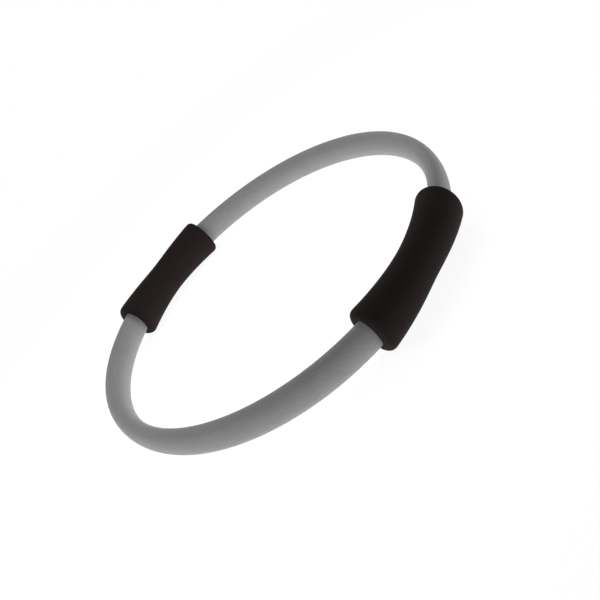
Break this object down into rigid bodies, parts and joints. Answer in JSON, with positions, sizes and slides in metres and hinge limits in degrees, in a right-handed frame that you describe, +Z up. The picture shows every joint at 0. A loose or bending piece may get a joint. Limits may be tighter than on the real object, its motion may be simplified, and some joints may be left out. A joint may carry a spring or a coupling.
{
  "type": "pilates ring",
  "caption": "Flexible exercise ring of foam-covered sprung blades with two opposite waisted foam grips, squeezed between the hands or legs.",
  "frame": {"origin": "on the floor under the centre of the ring as it lies flat on its grips", "axes": "+Z up along the ring's axis, X through the two grips with the moving grip at +X, Y through the two foam-covered arcs"},
  "size_m": [0.3814, 0.373, 0.0429],
  "materials": {
    "grey_foam": "smooth matt skin of closed-cell foam",
    "black_foam": "soft matt moulded foam",
    "glass_fibre": "pultruded glass fibre in resin, satin",
    "core_plastic": "moulded plastic, fine spark texture",
    "ferrule_steel": "bright zinc plated",
    "screw_steel": "zinc plated"
  },
  "bodies": {
    "left_grip": {"left_grip_sleeve": "black_foam", "left_core_outer_half": "core_plastic", "left_core_inner_half": "core_plastic", "left_core_screws": "screw_steel", "front_left_ferrule": "ferrule_steel", "back_left_ferrule": "ferrule_steel"},
    "right_grip": {"right_grip_sleeve": "black_foam", "right_core_outer_half": "core_plastic", "right_core_inner_half": "core_plastic", "right_core_screws": "screw_steel"},
    "front_right_end": {"front_right_ferrule": "ferrule_steel"},
    "back_right_end": {"back_right_ferrule": "ferrule_steel"},
    "front_arc": {"front_foam_tube": "grey_foam", "front_inner_blade": "glass_fibre", "front_middle_blade": "glass_fibre", "front_outer_blade": "glass_fibre"},
    "back_arc": {"back_foam_tube": "grey_foam", "back_inner_blade": "glass_fibre", "back_middle_blade": "glass_fibre", "back_outer_blade": "glass_fibre"}
  },
  "joints": [
    {"name": "squeeze", "type": "slide", "parent": "left_grip", "child": "right_grip", "axis": [-1, 0, 0], "range_m": [-0.03, 0.08], "stiffness_N_per_m": 1950},
    {"name": "front_bow", "type": "slide", "parent": "left_grip", "child": "front_arc", "axis": [-0.7071, -0.7071, 0], "range_m": [-0.02171, 0.05707], "deforming": ["front_foam_tube", "front_inner_blade", "front_middle_blade", "front_outer_blade"]},
    {"name": "front_right_end_bow", "type": "slide", "parent": "front_arc", "child": "front_right_end", "axis": [-0.7071, 0.7071, 0], "range_m": [-0.02171, 0.05707]},
    {"name": "back_bow", "type": "slide", "parent": "left_grip", "child": "back_arc", "axis": [-0.7071, 0.7071, 0], "range_m": [-0.02171, 0.05707], "deforming": ["back_foam_tube", "back_inner_blade", "back_middle_blade", "back_outer_blade"]},
    {"name": "back_right_end_bow", "type": "slide", "parent": "back_arc", "child": "back_right_end", "axis": [-0.7071, -0.7071, 0], "range_m": [-0.02171, 0.05707]}
  ],
  "couplings": [
    {"joint": "front_bow", "follows": "squeeze", "ratio": 0.70711},
    {"joint": "front_right_end_bow", "follows": "squeeze", "ratio": 0.70711},
    {"joint": "back_bow", "follows": "squeeze", "ratio": 0.70711},
    {"joint": "back_right_end_bow", "follows": "squeeze", "ratio": 0.70711}
  ]
}
